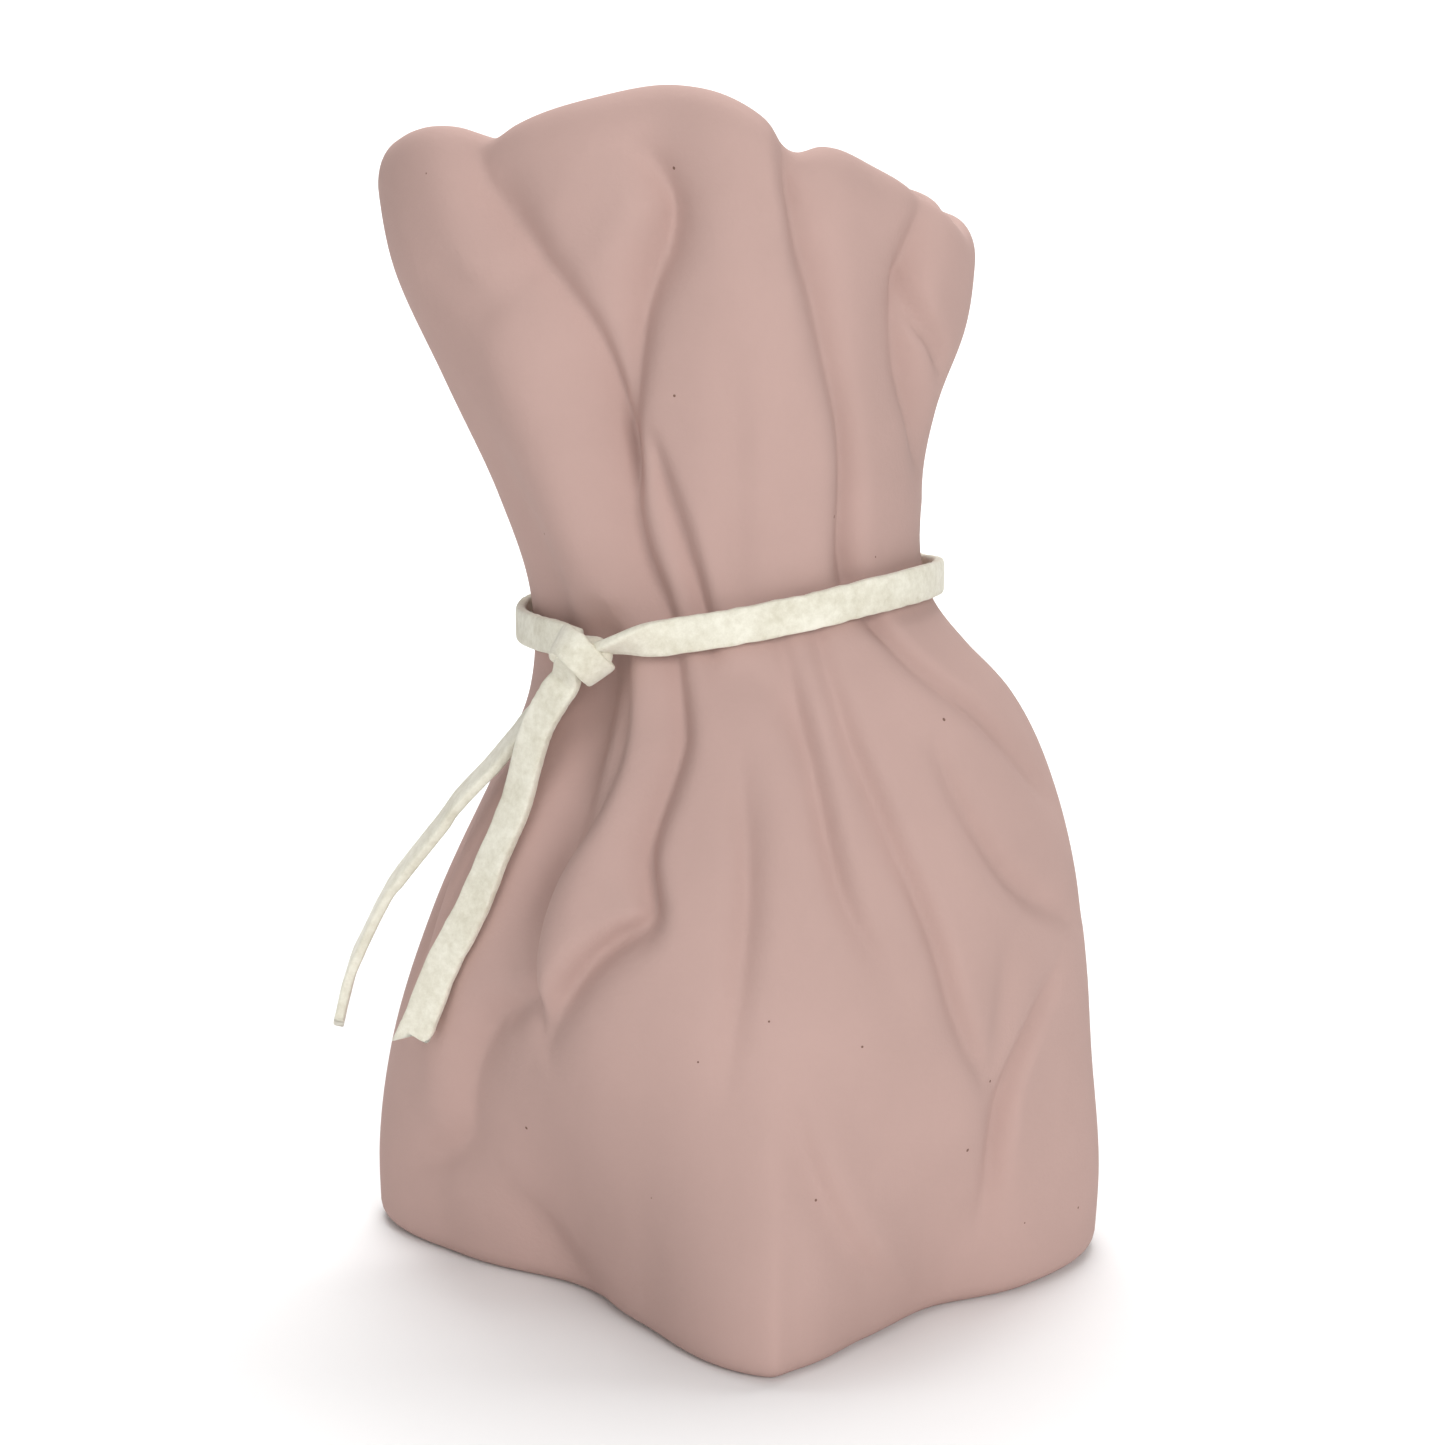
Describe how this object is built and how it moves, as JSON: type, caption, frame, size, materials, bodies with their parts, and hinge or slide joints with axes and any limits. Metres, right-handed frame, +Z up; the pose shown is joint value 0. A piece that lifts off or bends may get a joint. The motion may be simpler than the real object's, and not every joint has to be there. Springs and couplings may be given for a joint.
{
  "type": "gathered sack vase",
  "caption": "Slip-cast ceramic vessel shaped like a gathered cloth sack, open at its wavy mouth, tied at the waist with a knotted flat suede lace.",
  "frame": {"origin": "middle of the vessel's flat foot, on the surface it stands on", "axes": "+Z up the vessel, -Y towards the viewer who has the knot at the left, +X to that viewer's right"},
  "size_m": [0.1137, 0.1058, 0.1647],
  "materials": {
    "bisque": "dusty pink unglazed cast body, dead matte, with fine pinholes",
    "suede": "cream split suede, cut edges"
  },
  "bodies": {
    "vase": {"vessel": "bisque", "lace_band": "suede", "lace_knot": "suede"},
    "front_tail": {"lace_tail_front": "suede"},
    "side_tail": {"lace_tail_side": "suede"}
  },
  "joints": [
    {"name": "front_tail_lift", "type": "hinge", "parent": "vase", "child": "front_tail", "pos_m": [-0.02174, -0.02651, 0.0875], "axis": [-0.8211, 0.5708, 0], "range_deg": [0, 45]},
    {"name": "side_tail_lift", "type": "hinge", "parent": "vase", "child": "side_tail", "pos_m": [-0.02276, -0.02214, 0.088], "axis": [-0.2, 0.9798, 0], "range_deg": [0, 30]}
  ]
}
